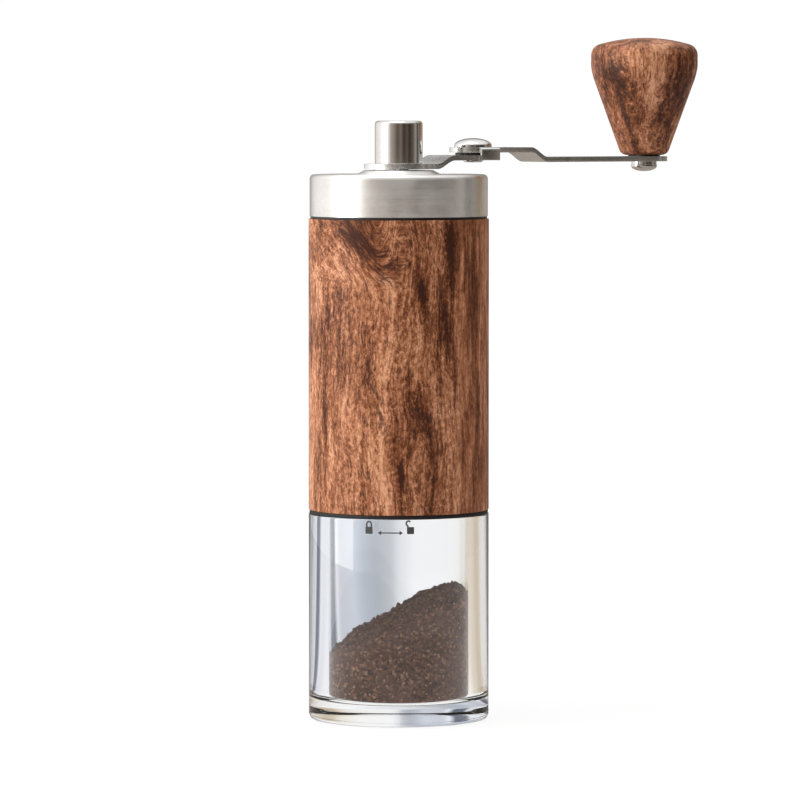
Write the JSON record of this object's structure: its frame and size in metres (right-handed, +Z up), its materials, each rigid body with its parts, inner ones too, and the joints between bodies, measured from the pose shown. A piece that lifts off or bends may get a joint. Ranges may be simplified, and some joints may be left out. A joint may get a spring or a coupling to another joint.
{
  "type": "hand coffee grinder",
  "caption": "Slim hand-cranked burr coffee grinder with a folding crank, wooden knob, steel lid, wood-wrapped body and clear twist-off receiver cup.",
  "frame": {"origin": "centre of the flat face on the underside of the receiver cup, on the grinder's own axis", "axes": "+Z up along the drive shaft, +X from the shaft towards the crank's knob at rest, +Y across the crank"},
  "size_m": [0.1204, 0.049, 0.1856],
  "materials": {
    "wood_wrap": "satin walnut-look wrap with streaked grain",
    "knob_wood": "satin oiled walnut",
    "lid_steel": "brushed",
    "hub_steel": "fine turned",
    "arm_steel": "satin, polished edges",
    "rivet_steel": "polished",
    "tube_steel": "brushed",
    "shaft_steel": "ground",
    "bearing_steel": "polished",
    "screw_steel": "plain",
    "burr_ceramic": "unglazed white",
    "black_nylon": "fine moulded",
    "washer_nylon": "smooth",
    "seal_rubber": "smooth",
    "bush_brass": "turned",
    "clear_cup": "clear polished acrylic"
  },
  "bodies": {
    "housing": {"body_tube": "tube_steel", "wood_sleeve": "wood_wrap", "top_bridge": "black_nylon", "upper_bearing_outer": "bearing_steel", "upper_bearing_balls": "bearing_steel", "burr_housing": "black_nylon", "lower_bearing_outer": "bearing_steel", "lower_bearing_balls": "bearing_steel", "ring_burr": "burr_ceramic", "burr_clamp_ring": "tube_steel", "clamp_screws": "screw_steel", "bayonet_collar": "black_nylon"},
    "shaft": {"drive_shaft": "shaft_steel", "upper_bearing_inner": "bearing_steel", "lower_bearing_inner": "bearing_steel", "shaft_clip": "screw_steel", "burr_spring": "screw_steel", "spring_washer": "screw_steel"},
    "burr": {"cone_burr": "burr_ceramic", "burr_core": "black_nylon", "click_plate": "tube_steel"},
    "dial": {"grind_dial": "black_nylon"},
    "crank": {"inner_arm": "arm_steel", "crank_hub": "hub_steel", "hinge_rivet": "rivet_steel", "hinge_washer": "washer_nylon"},
    "arm": {"outer_arm": "arm_steel", "knob_spindle": "rivet_steel", "spindle_washer": "rivet_steel", "knob_washer": "washer_nylon", "spindle_clip": "screw_steel"},
    "grip": {"knob": "knob_wood", "knob_bush": "bush_brass"},
    "lid": {"lid_cap": "lid_steel", "lid_insert": "black_nylon", "lid_seal": "seal_rubber", "lid_grommet": "seal_rubber"},
    "cup_seat": {"cup_gasket": "seal_rubber"},
    "receiver": {"cup": "clear_cup"}
  },
  "joints": [
    {"name": "crank_spin", "type": "hinge", "parent": "housing", "child": "shaft", "pos_m": [0, 0, 0.1], "axis": [0, 0, 1], "continuous": true},
    {"name": "crank_lift", "type": "slide", "parent": "shaft", "child": "crank", "axis": [0, 0, 1], "range_m": [0, 0.075]},
    {"name": "crank_fold", "type": "hinge", "parent": "crank", "child": "arm", "pos_m": [0.024, 0, 0.1538], "axis": [0, 0, 1], "range_deg": [0, 145]},
    {"name": "knob_spin", "type": "hinge", "parent": "arm", "child": "grip", "pos_m": [0.081, 0, 0.16], "axis": [0, 0, 1], "continuous": true},
    {"name": "burr_travel", "type": "slide", "parent": "shaft", "child": "burr", "axis": [0, 0, 1], "range_m": [-0.0012, 0], "deforming": ["burr_spring"]},
    {"name": "dial_turn", "type": "hinge", "parent": "burr", "child": "dial", "pos_m": [0, 0, 0.06], "axis": [0, 0, 1], "range_deg": [-540, 0]},
    {"name": "lid_lift", "type": "slide", "parent": "housing", "child": "lid", "axis": [0, 0, 1], "range_m": [0, 0.0375]},
    {"name": "cup_pull", "type": "slide", "parent": "housing", "child": "cup_seat", "axis": [0, 0, -1], "range_m": [0, 0.075]},
    {"name": "cup_twist", "type": "hinge", "parent": "cup_seat", "child": "receiver", "pos_m": [0, 0, 0], "axis": [0, 0, 1], "range_deg": [0, 35]}
  ],
  "couplings": [
    {"joint": "lid_lift", "follows": "crank_lift", "ratio": 0.5},
    {"joint": "burr_travel", "follows": "dial_turn", "m_per_rad": 0.00012732}
  ]
}
